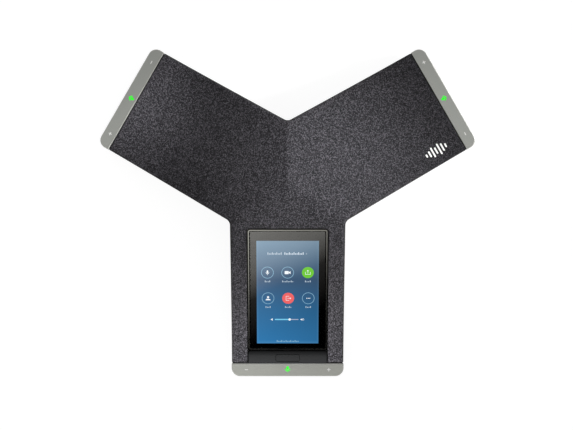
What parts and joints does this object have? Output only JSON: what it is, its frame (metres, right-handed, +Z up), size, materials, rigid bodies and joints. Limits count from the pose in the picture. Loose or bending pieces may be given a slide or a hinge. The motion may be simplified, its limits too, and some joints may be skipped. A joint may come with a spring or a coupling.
{
  "type": "conference desk phone",
  "caption": "Three-armed tabletop conference phone with a raised fabric-covered hub, touch caps on the arm ends and a tilted touch screen with a home key.",
  "frame": {"origin": "on the table, in the middle of the footprint; the middle of the hub is 24.5 mm behind it", "axes": "+Z up, the front arm with the screen points along -Y, +X to the right of a person reading the screen"},
  "size_m": [0.3786, 0.3301, 0.072],
  "materials": {
    "fabric": "charcoal knitted speaker cloth with a lighter fleck",
    "black_plastic": "fine moulded texture",
    "grey_plastic": "satin",
    "cap_metal": "fine bead-blasted, warm silver grey",
    "frame_metal": "satin dark grey with a bright lip",
    "glass": "polished",
    "display": "display with blue gradient",
    "steel": "zinc plated",
    "ferrite": "matt ceramic magnet",
    "copper": "enamelled copper wire",
    "board": "solder mask",
    "rubber": "matt",
    "paper": "pressed paper cone",
    "clear_plastic": "milky light guide",
    "ribbon": "polyimide film"
  },
  "bodies": {
    "casing": {"fabric_cover": "fabric", "top_shell": "black_plastic", "base_shell": "black_plastic", "end_cap_front": "cap_metal", "end_cap_right": "cap_metal", "end_cap_left": "cap_metal", "light_guide_front": "clear_plastic", "light_guide_right": "clear_plastic", "light_guide_left": "clear_plastic", "touch_board_front": "board", "touch_board_right": "board", "touch_board_left": "board", "arm_ribbon_front": "ribbon", "arm_ribbon_right": "ribbon", "arm_ribbon_left": "ribbon", "microphone_front": "steel", "microphone_right": "steel", "microphone_left": "steel", "mic_boot_front": "rubber", "mic_boot_right": "rubber", "mic_boot_left": "rubber", "foot_front": "rubber", "foot_right": "rubber", "foot_left": "rubber", "base_screw_front": "steel", "base_screw_right": "steel", "base_screw_left": "steel", "display_frame": "frame_metal", "cover_glass": "glass", "lcd_panel": "display", "display_tray": "steel", "display_ribbon": "ribbon", "chin_panel": "grey_plastic", "home_key_switch": "black_plastic", "home_key_board": "board", "speaker_box": "black_plastic", "speaker_basket": "steel", "speaker_surround": "rubber", "spider": "ribbon", "front_plate": "steel", "magnet": "ferrite", "pole_yoke": "steel", "speaker_gasket": "rubber", "speaker_screw_1": "steel", "speaker_screw_2": "steel", "speaker_screw_3": "steel", "speaker_screw_4": "steel", "speaker_lead": "rubber", "main_board": "board", "shield_can": "steel", "network_socket": "steel", "usb_a_socket": "steel", "usb_c_socket": "steel", "wifi_antenna": "board", "security_lock_plate": "steel"},
    "home_key": {"home_key": "grey_plastic"},
    "switch_plunger": {"switch_plunger": "black_plastic"},
    "speaker_cone": {"speaker_cone": "paper", "dust_cap": "paper", "voice_coil": "copper"}
  },
  "joints": [
    {"name": "home_key_travel", "type": "slide", "parent": "casing", "child": "home_key", "axis": [0, 0, -1], "range_m": [0, 0.0006], "stiffness_N_per_m": 250, "springref_m": -0.001},
    {"name": "switch_plunger_travel", "type": "slide", "parent": "casing", "child": "switch_plunger", "axis": [0, 0, -1], "range_m": [0, 0.0006]},
    {"name": "speaker_cone_travel", "type": "slide", "parent": "casing", "child": "speaker_cone", "axis": [0, 0, 1], "range_m": [-0.0025, 0.0025], "stiffness_N_per_m": 900, "deforming": ["speaker_surround", "spider"]}
  ],
  "couplings": [
    {"joint": "switch_plunger_travel", "follows": "home_key_travel", "ratio": 1}
  ]
}
